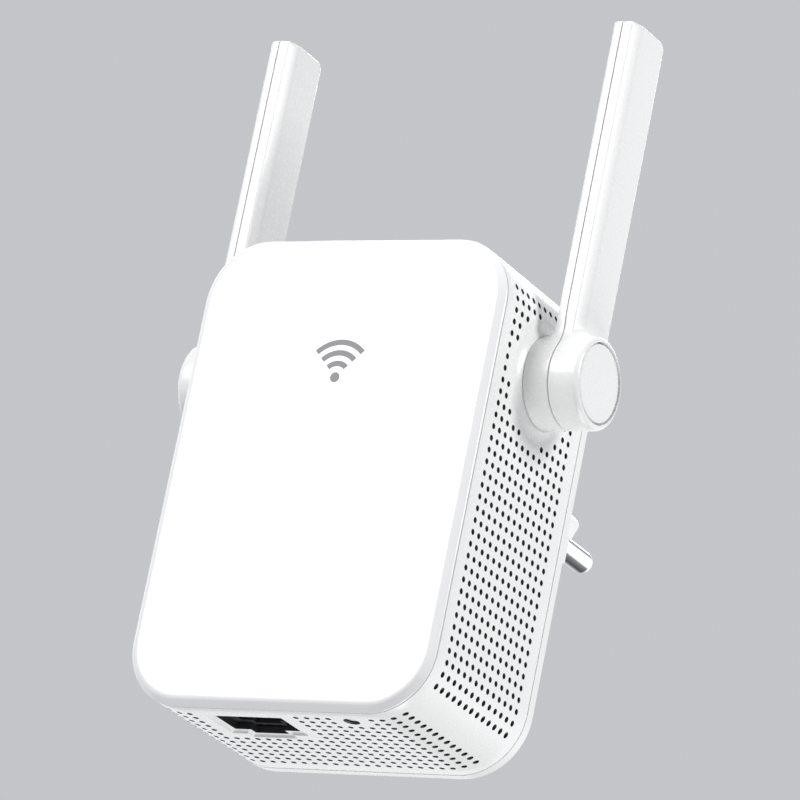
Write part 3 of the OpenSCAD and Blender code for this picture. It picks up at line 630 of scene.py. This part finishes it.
def build_side_frame():
    """Perforated wall with drilled, chamfered holes, hinge flares and screw posts."""
    skin = WallSkin()
    half = VENT_PITCH / 2
    hinges = {1: middle_of("right_hub_cap"), -1: middle_of("left_hub_cap")}
    stations = {"right": [], "left": [], "under": [], "top": []}

    def side_map(sign):
        def mapped(u, y, depth):
            outer, inner = side_outer(u)
            return (sign * (outer + (inner - outer) * depth), y, u)
        return mapped

    def end_map(top):
        def mapped(u, y, depth):
            outer, inner = under_outer(u)
            z = outer + (inner - outer) * depth
            return (u, y, BODY_H - z if top else z)
        return mapped

    for sign, key in ((1, "right"), (-1, "left")):
        hinge = hinges[sign][1:]
        mapped = side_map(sign)
        for row in range(VENT_ROWS):
            z = VENT_FIRST_Z + row * VENT_PITCH
            for col in range(VENT_COLS):
                y = VENT_FIRST_Y + col * VENT_PITCH
                hole = math.dist((y, z), hinge) >= VENT_CLEAR_R
                if sign < 0 and y < CONTROLS_DEPTH and CONTROLS_LOW < z < CONTROLS_HIGH:
                    hole = False
                skin.cell(mapped, z, y, half, hole)
            stations[key] += [(mapped, z - half), (mapped, z)]
        stations[key].append((mapped, VENT_FIRST_Z + (VENT_ROWS - 0.5) * VENT_PITCH))
    port_x = middle_of("ethernet_shell")[0]
    reset_x = middle_of("reset_switch")[0]
    for top, key in ((False, "under"), (True, "top")):
        mapped = end_map(top)
        for k in range(UNDER_COLS):
            x = UNDER_FIRST_X + k * VENT_PITCH
            if top:
                x = -x
            for col in range(VENT_COLS):
                y = VENT_FIRST_Y + col * VENT_PITCH
                near_port = abs(x - port_x) < PORT_CLEAR[0] and y < PORT_CLEAR[1]
                near_reset = abs(x - reset_x) < RESET_CLEAR[0] and y < RESET_CLEAR[1]
                if top:
                    hole = col in TOP_VENT_ROWS and k in TOP_VENT_COLS
                else:
                    hole = not (near_port or near_reset)
                skin.cell(mapped, x, y, half, hole)
            stations[key] += [(mapped, x - half), (mapped, x)]
            if k == (0 if top else UNDER_COLS - 1):
                stations[key].append((mapped, x + half))
        stations[key].sort(key=lambda s: s[1])

    loop = under_side_loop(stations)
    add_wall_bands(skin, loop)
    obj = new_object("side_frame_wall", skin.verts, skin.faces)
    cut_side_frame(obj, port_x, reset_x)
    extras = [hinge_flare(s, hinges[s]) for s in (1, -1)] + screw_posts()
    joined(obj, extras)
    finish_piece(obj, "shell", "casing", "side_frame")
    # Painted shade on the hole walls and the inner faces of the frame.
    paint_shade_in_holes(obj, port_x)


def skin_depth(x, z):
    """Depth of a point below the outer surface of the wall."""
    qx = abs(x) - (HALF_W - CORNER_R)
    qz = abs(z - BODY_H / 2) - (BODY_H / 2 - CORNER_R)
    return CORNER_R - math.hypot(max(qx, 0), max(qz, 0)) - min(max(qx, qz), 0)


def paint_shade_in_holes(obj, port_x):
    """Paints shade on the walls of the holes and the inside of the frame: those faces get a near-black
    material, though they are the same white plastic as the shell.
    """
    obj.data.materials.append(LOOKS["shade"])
    for polygon in obj.data.polygons:
        x, y, z = (polygon.center - ORIGIN) / MM
        at_port = abs(x - port_x) < 9.5 and y < 18 and z < WALL
        edge = 0.55 if at_port else 0.06
        if skin_depth(x, z) > edge and 0.25 < y < REAR_SEAM - 0.35:
            polygon.material_index = 1


def under_side_loop(stations):
    """All stations round the outline, as (outer, inner) points at a depth, in order."""
    loop = []

    def add_run(run):
        for mapped, u in run:
            loop.append((lambda y, m=mapped, v=u: m(v, y, 0), lambda y, m=mapped, v=u: m(v, y, 1)))

    def add_corner(sx, sz, start, end, steps=6):
        cx = sx * (HALF_W - CORNER_R)
        cz = CORNER_R if sz < 0 else BODY_H - CORNER_R
        a0 = math.atan2(start[2] - cz, start[0] - cx)
        a1 = math.atan2(end[2] - cz, end[0] - cx)
        turn = (a1 - a0 + math.pi) % (2 * math.pi) - math.pi
        for i in range(1, steps):
            a = a0 + turn * i / steps

            def at(y, r, angle=a, x=cx, z=cz):
                return (x + r * math.cos(angle), y, z + r * math.sin(angle))

            loop.append((lambda y, f=at: f(y, CORNER_R), lambda y, f=at: f(y, CORNER_R - WALL)))

    under = stations["under"]
    right = stations["right"]
    top = stations["top"][::-1]
    left = stations["left"][::-1]
    runs = [under, right, top, left]
    signs = [(1, -1), (1, 1), (-1, 1), (-1, -1)]
    for i, run in enumerate(runs):
        add_run(run)
        following = runs[(i + 1) % 4]
        end = run[-1][0](run[-1][1], 0, 0)
        start = following[0][0](following[0][1], 0, 0)
        add_corner(*signs[i], end, start)
    return loop


def add_wall_bands(skin, loop):
    """The plain bands at the front and the back of the wall, its two edges and its corners."""
    half = VENT_PITCH / 2
    grid_front = VENT_FIRST_Y - half
    grid_back = VENT_FIRST_Y + (VENT_COLS - 0.5) * VENT_PITCH
    count = len(loop)

    def middle(k, round_by, y):
        outer, inner = Vector(loop[k][0](y)), Vector(loop[k][1](y))
        return tuple(outer + (inner - outer).normalized() * round_by)

    front_rings = [
        [loop[k][1](grid_front) for k in range(count)],
        [loop[k][1](0.0) for k in range(count)],
        [middle(k, 0.2, 0.0) for k in range(count)],
        [middle(k, 0.05, 0.06) for k in range(count)],
        [loop[k][0](0.22) for k in range(count)],
        [loop[k][0](grid_front) for k in range(count)],
    ]
    back_edge = REAR_SEAM - 0.02
    back_rings = [
        [loop[k][0](grid_back) for k in range(count)],
        [loop[k][0](back_edge - 0.3) for k in range(count)],
        [middle(k, 0.05, back_edge - 0.14) for k in range(count)],
        [middle(k, 0.2, back_edge - 0.08) for k in range(count)],
        [loop[k][1](back_edge - 0.08) for k in range(count)],
        [loop[k][1](grid_back) for k in range(count)],
    ]
    for rings in (front_rings, back_rings):
        skin.add(*loft(rings, False, False))
    lines = [grid_front + i * half for i in range(2 * VENT_COLS + 1)]
    for which in (0, 1):
        for k in range(count):
            following = (k + 1) % count
            a, b = Vector(loop[k][which](0)), Vector(loop[following][which](0))
            if not in_corner(a, b):
                continue
            points = [loop[k][which](y) for y in lines] + [loop[following][which](y) for y in lines]
            n = len(lines)
            skin.add(points, [(i, i + 1, n + i + 1, n + i) for i in range(n - 1)])


def in_corner(a, b):
    """True where two neighbouring stations both lie in the plain middle of a corner."""
    z_low = VENT_FIRST_Z - VENT_PITCH / 2
    z_high = VENT_FIRST_Z + (VENT_ROWS - 0.5) * VENT_PITCH
    mid = (a + b) / 2
    x_limit = UNDER_FIRST_X + (UNDER_COLS - 0.5) * VENT_PITCH
    x_other = -(UNDER_FIRST_X - VENT_PITCH / 2)
    outside_z = mid.z < z_low - 0.001 or mid.z > z_high + 0.001
    if mid.z < BODY_H / 2:
        limit = x_limit if mid.x > 0 else x_other
    else:
        limit = x_other if mid.x > 0 else x_limit
    return outside_z and abs(mid.x) > limit + 0.001


def cut_side_frame(obj, port_x, reset_x):
    """Ethernet opening with its stepped rim, reset hole, button and lamp openings, hinge bores."""
    half = 7.75
    front, back = 5.9, 14.3
    rim = 1.1
    latch = 4.0
    latch_back = back + 2

    def notched(grow):
        return rounded_polygon([
            (port_x - half - grow, front - grow, 0.4), (port_x + half + grow, front - grow, 0.4),
            (port_x + half + grow, back + grow, 0.4), (port_x + latch + grow, back + grow, 0.3),
            (port_x + latch + grow, latch_back + grow, 0.4),
            (port_x - latch - grow, latch_back + grow, 0.4),
            (port_x - latch - grow, back + grow, 0.3), (port_x - half - grow, back + grow, 0.4),
        ], 3)

    slanted = loft([
        [(x, y, -0.5) for x, y in notched(rim + 0.25)],
        [(x, y, 0.0) for x, y in notched(rim + 0.25)],
        [(x, y, 0.5) for x, y in notched(rim - 0.1)],
    ])
    cut(obj, slanted)
    cut(obj, prism(notched(0), "z", -1, WALL + 1))
    reset_y, reset_r, reset_mouth_r = 5.2, 1.45, 1.75
    hole = [(-1, 0.0), (-1, reset_mouth_r), (0.0, reset_mouth_r), (0.3, reset_r),
            (WALL + 1, reset_r), (WALL + 1, 0.0)]
    cut(obj, lathe(hole, (reset_x, reset_y, 0), (0, 0, 1), 40))
    by, bz = middle_of("pairing_button")[1:]
    slot = [(by + y, bz + z) for y, z in rounded_rectangle(2.1, 5.6, 2.09, 10)]
    cut(obj, prism(slot, "x", -HALF_W - 1, -HALF_W + 3))
    lamp_low, lamp_high = mm_box("status_leds")
    lamp_r = 0.8
    first, last = lamp_low.z + lamp_r, lamp_high.z - lamp_r
    for i in range(3):
        z = first + (last - first) * i / 2
        window = [(-1, 0.0), (-1, 1.0), (4, 1.0), (4, 0.0)]
        cut(obj, lathe(window, (-HALF_W, by, z), (1, 0, 0), 24))
    for s, node in ((1, "right_hub_cap"), (-1, "left_hub_cap")):
        bore = [(-4, 0.0), (-4, HINGE_BORE_R), (3, HINGE_BORE_R), (3, 0.0)]
        cut(obj, lathe(bore, (s * HALF_W, *middle_of(node)[1:]), (s, 0, 0), 48))


def hinge_flare(s, hinge):
    """Hollow-curved flare from the wall up to the hub, with the inner sleeve of the hinge."""
    top = abs(wall_high.x) - HALF_W
    top_r, foot_r, sleeve_r = 9.95, 12.6, 8.5
    sleeve_end = -5.0
    steps = 10
    flare = []
    for i in range(steps + 1):
        t = i / steps
        flare.append((top * (1 - t) ** 2.2 + 0.001, top_r + (foot_r - top_r) * t))
    profile = [(sleeve_end, HINGE_BORE_R), (sleeve_end, sleeve_r), (-WALL, sleeve_r),
               (-1.0, sleeve_r), (-1.0, foot_r)]
    profile += flare[::-1] + [(top, 9.6), (top, HINGE_BORE_R)]
    centre = (s * HALF_W, *hinge[1:])
    return new_object("flare", *lathe(profile + profile[:1], centre, (s, 0, 0), 96))


def screw_posts():
    """Four posts with pilot holes, from the main board to the rear cover."""
    posts = []
    x = HALF_W - WALL - 4.7
    z_low = WALL + 5.7
    post_r, ease = 3.5, 0.1
    board_hole_r, case_hole_r, case_hole_depth = 0.95, 1.15, 9
    board_back = mm_box("main_board")[1].y
    profile = [
        (board_back, board_hole_r), (board_back, post_r - ease), (board_back + ease, post_r),
        (REAR_SEAM - ease, post_r), (REAR_SEAM, post_r - ease), (REAR_SEAM, case_hole_r),
        (REAR_SEAM - case_hole_depth, case_hole_r), (REAR_SEAM - case_hole_depth, board_hole_r),
    ]
    for sx in (-1, 1):
        for z in (z_low, BODY_H - z_low):
            skin = lathe(profile + profile[:1], (sx * x, 0, z), (0, 1, 0), 32)
            posts.append(new_object("post", *skin))
    return posts


# Antennas -------------------------------------------------------------------


class Antenna:
    """Sizes of one antenna, read from its CAD nodes; x runs outward from the first seam."""

    def __init__(self, side):
        self.s = 1 if side == "right" else -1
        self.side = side
        outer_low, outer_high = mm_box(f"{side}_outer_shell")
        self.centre_y, self.centre_z = middle_of(f"{side}_hub_cap")[1:]
        self.hub_r = (outer_high.y - outer_low.y) / 2
        self.start = abs(wall_high.x) + 0.05
        self.hub_l = max(abs(outer_low.x), abs(outer_high.x)) - self.start
        self.seam = min(abs(outer_low.x), abs(outer_high.x)) - self.start
        self.tip = outer_high.z - self.centre_z
        self.blade_x0 = 3.4
        self.blade_x1 = 8.9
        self.half = 6.5

    def at(self, x, y, z):
        return (self.s * (self.start + x), self.centre_y + y, self.centre_z + z)

    def lathe(self, profile, turns=96):
        centre = (self.s * self.start, self.centre_y, self.centre_z)
        return lathe(profile + profile[:1], centre, (self.s, 0, 0), turns)

    def half_width(self, z):
        """Half the blade's width at height z, with the hollow curves towards the hub."""
        curve = 8.0
        cy = self.half + curve
        cz = math.sqrt((self.hub_r + curve) ** 2 - cy**2)
        if z >= cz:
            return self.half
        if z <= cz * self.hub_r / (self.hub_r + curve):
            return math.sqrt(self.hub_r**2 - z**2) - 0.25
        return cy - math.sqrt(max(curve**2 - (cz - z) ** 2, 0.0))

    def flare(self, y, z):
        """How far the faces of the blade spread where they run into the hub."""
        reach = 2.3
        top = math.sqrt(max(self.hub_r**2 - y**2, 0.0))
        d = min(max(z - top, 0.0), reach)
        return reach - math.sqrt(reach**2 - (reach - d) ** 2)


def build_antenna_shell(antenna, outer_half):
    """One half shell of an antenna: hub, blade and the curves between them."""
    a = antenna
    gap = 0.1
    wall = 1.15
    bevel_here = outer_half == (a.s > 0)
    face_x = a.blade_x1 if outer_half else a.blade_x0
    out = 1 if outer_half else -1
    seam_hub = a.seam + out * gap
    heights = [2.5, 4.0, 5.0, 5.43, 5.5, 5.8, 6.2, 6.6, 7.0, 7.4, 7.8, 8.2, 8.6, 8.9, 9.2, 9.45, 9.62]
    heights += [9.75, 9.9, 10.1, 10.3, 10.5, 10.8, 11.1, 11.5, 11.9, 12.4, 13.0, 14.0, 15.5]
    heights += [17.0, 22.0, 35.0, 50.0, 65.0, 74.0]
    tip_r = 1.8
    heights += [a.tip - tip_r + tip_r * math.sin(math.radians(t)) for t in (0, 20, 40, 55, 68, 78, 86)]
    loops = []
    for z in heights:
        width = a.half_width(z)
        blend = min(max((z - 9.0) / 5.0, 0.0), 1.0)
        blend = blend * blend * (3 - 2 * blend)
        seam = seam_hub - 0.25 * blend if a.s > 0 else seam_hub
        past = max(z - (a.tip - tip_r), 0.0)
        round_back = tip_r - math.sqrt(max(tip_r**2 - past**2, 0.0))
        edge = min(max((z - (a.tip - 0.5)) / 0.5, 0.0), 1.0)
        shrink = 0.5 * (1 - math.sqrt(max(1 - edge**2, 0.0)))
        front, back = -width + shrink, width - round_back - shrink * 0.3
        reach = face_x - out * shrink
        if bevel_here:
            start_x = reach - out * 1.15
            corners = [(seam, front, 0.12), (start_x, front, 0.4),
                       (reach, front + 2.7, 0.7), (reach, back, 0.9), (seam, back, 0.12)]
        else:
            corners = [(seam, front, 0.12), (reach, front, 0.7), (reach, back, 0.9), (seam, back, 0.12)]
        skin = rounded_polygon(corners, 5)
        skin = [(x + out * a.flare(y, z) * flare_share(x, seam, reach), y) for x, y in skin]
        deep = 1.0 if z < a.tip - 2.0 else 0.0
        wall_front = -2.2 if bevel_here else -5.2
        inner_x = seam + (face_x - out * wall - seam) * deep
        cavity = [(seam, 5.2), (inner_x, 5.2), (inner_x, wall_front), (seam, wall_front)]
        loops.append([a.at(x, y, z) for x, y in skin + cavity])
    blade = new_object("blade", *loft(loops), 30)
    if outer_half:
        rim = 1.35
        profile = [(seam_hub, HUB_SEAT_R), (seam_hub, a.hub_r - 0.12), (seam_hub + 0.12, a.hub_r)]
        profile += [(x, r) for x, r in arc(a.hub_l - rim, a.hub_r - rim, rim, 90, 8, 9)]
        profile += [(a.hub_l, 8.62), (a.hub_l - 0.05, 8.5), (a.hub_l - 0.16, 8.42),
                    (a.hub_l - CAP_DEPTH, 8.42), (a.hub_l - CAP_DEPTH, HUB_SEAT_R)]
    else:
        ring_inner_x = abs(mm_box(f"{a.side}_ring")[0 if a.s > 0 else 1].x)
        end = ring_inner_x - wall_high.x - 1.05
        profile = [(end, 2.2), (end, 3.8), (end + 0.2, 4.0), (0.0, 4.0), (0.0, a.hub_r - 0.2),
                   (0.06, a.hub_r - 0.06), (0.2, a.hub_r), (seam_hub - 0.12, a.hub_r),
                   (seam_hub, a.hub_r - 0.12), (seam_hub, HUB_SEAT_R), (1.8, HUB_SEAT_R), (1.8, 2.2)]
    hub = new_object("hub", *a.lathe(profile))
    name = f"{a.side}_{'outer' if outer_half else 'inner'}_shell"
    hub.name = name + "_moulding"
    united(hub, blade)
    finish_piece(hub, "shell", f"{a.side}_antenna", name)


def flare_share(x, seam, face):
    """0 at the seam and 1 at the face, so that only the face spreads into the hub."""
    return min(max((x - seam) / (face - seam), 0.0), 1.0) ** 2


def build_hub_cap(antenna):
    """Slightly domed cap with an eased edge, set just below the rim of the hub."""
    a = antenna
    seat = a.hub_l - CAP_DEPTH
    face = a.hub_l - 0.2
    profile = [(seat, 0.0), (seat, 8.34), (seat + 0.5, 8.34), (seat + 0.55, 8.02),
               (face - 0.2, 8.02), (face - 0.06, 7.95), (face - 0.01, 7.82)]
    profile += [(face + 0.16 * (1 - (r / 7.8) ** 2), r) for r in (7.4, 6.5, 5, 3.5, 2, 1, 0.0)]
    obj = new_object(f"{a.side}_hub_cap_disc", *a.lathe(profile))
    finish_piece(obj, "shell", f"{a.side}_antenna", f"{a.side}_hub_cap")


# Mark on the front ----------------------------------------------------------


def build_mark():
    """Plain grey mark of a dot and three arcs, printed on the front."""
    look = Look("mark_ink", (0.2, 0.2, 0.21), 0.45)
    dots = look.noise(0.25, 2.0)
    look.set_colour(look.mix(look.ramp(dots, 0, 0.5), (0.17, 0.17, 0.18), (0.21, 0.21, 0.22)))
    look.add_bump(dots, 0.004)
    LOOKS["mark"] = look.material
    cx, cz = 0.0, 70.5
    y = cover_low.y + MARK_SEAT
    thick = 0.02
    parts = [new_object("dot", *lathe([(-thick, 0), (-thick, 1.1), (0.1, 1.1), (0.1, 0)],
                                      (cx, y, cz), (0, 1, 0), 40))]
    for r in (3.0, 5.3, 7.6):
        outline = arc(cx, cz, r + 0.6, 45, 135, 24) + arc(cx, cz, r - 0.6, 135, 45, 24)
        parts.append(new_object("arc", *prism(outline, "y", y - thick, y + 0.1)))
    obj = joined(parts[0], parts[1:])
    obj.name = "front_mark"
    finish_piece(obj, "mark", "casing")


# Studio ---------------------------------------------------------------------


def build_studio():
    """Pale floor well below the wall-mounted object, soft boxes and an even pale surround."""
    scene = bpy.context.scene
    work = bmesh.new()
    bmesh.ops.create_grid(work, x_segments=8, y_segments=8, size=6.0)
    mesh = bpy.data.meshes.new("floor")
    work.to_mesh(mesh)
    work.free()
    floor = bpy.data.objects.new("floor", mesh)
    floor.location = (0, 0, -3.0)
    scene.collection.objects.link(floor)
    look = Look("floor_paint", (0.72, 0.72, 0.72), 0.7)
    look.add_bump(look.noise(6.0, 2.0), 0.02)
    mesh.materials.append(look.material)

    world = bpy.data.worlds.new("studio")
    world.use_nodes = True
    background = world.node_tree.nodes["Background"]
    tree = world.node_tree
    seen = tree.nodes.new("ShaderNodeBackground")
    background.inputs["Color"].default_value = (0.94, 0.96, 1.0, 1)
    seen.inputs["Color"].default_value = (0.55, 0.56, 0.58, 1)
    paths = tree.nodes.new("ShaderNodeLightPath")
    strength = tree.nodes.new("ShaderNodeMapRange")
    strength.inputs["To Min"].default_value = 0.27
    strength.inputs["To Max"].default_value = 1.15
    tree.links.new(paths.outputs["Is Glossy Ray"], strength.inputs["Value"])
    tree.links.new(strength.outputs["Result"], background.inputs["Strength"])
    mixed = tree.nodes.new("ShaderNodeMixShader")
    tree.links.new(paths.outputs["Is Camera Ray"], mixed.inputs["Fac"])
    tree.links.new(background.outputs["Background"], mixed.inputs[1])
    tree.links.new(seen.outputs["Background"], mixed.inputs[2])
    tree.links.new(mixed.outputs["Shader"], tree.nodes["World Output"].inputs["Surface"])
    scene.world = world
    scene.view_settings.view_transform = "Standard"

    def soft_box(name, direction, distance, size, power):
        light = bpy.data.lights.new(name, "AREA")
        light.shape = "RECTANGLE"
        light.size, light.size_y = size
        light.energy = power
        obj = bpy.data.objects.new(name, light)
        target = place((0, 15, 60))
        obj.location = target + Vector(direction).normalized() * distance
        obj.rotation_euler = (target - obj.location).to_track_quat("-Z", "Y").to_euler()
        scene.collection.objects.link(obj)

    soft_box("key", (-0.45, -1.0, 0.5), 1.2, (0.6, 0.6), 12)
    soft_box("right_fill", (1.0, -0.05, 0.45), 1.1, (0.3, 0.4), 7.2)
    soft_box("under_fill", (0.3, 0.3, -1.0), 0.65, (0.6, 0.4), 3.0)
    soft_box("back_rim", (-0.6, 1.0, 0.8), 1.3, (0.8, 0.5), 5)


def build_camera():
    """Long lens from the front right, below the object, rolled as in the photograph."""
    azimuth, elevation, roll = math.radians(32.264), math.radians(-18.063), math.radians(11.435)
    distance = 1.2434
    forward = Vector((
        -math.sin(azimuth) * math.cos(elevation), math.cos(azimuth) * math.cos(elevation),
        -math.sin(elevation),
    ))
    right = forward.cross(Vector((0, 0, 1))).normalized()
    up = right.cross(forward)
    tilted_up = up * math.cos(roll) - right * math.sin(roll)
    tilted_right = forward.cross(tilted_up)
    target = place((21.68, -10.39, 62.41))
    camera = bpy.data.objects.new("camera", bpy.data.cameras.new("camera"))
    camera.data.sensor_width = 36
    camera.data.lens = 281.4
    matrix = Matrix((tilted_right, tilted_up, -forward)).transposed().to_4x4()
    matrix.translation = target - forward * distance
    camera.matrix_world = matrix
    bpy.context.scene.collection.objects.link(camera)
    bpy.context.scene.camera = camera


dress_cad_nodes()
build_front_cover()
build_side_frame()
for name in ("right", "left"):
    one = Antenna(name)
    build_antenna_shell(one, False)
    build_antenna_shell(one, True)
    build_hub_cap(one)
build_mark()
build_studio()
build_camera()
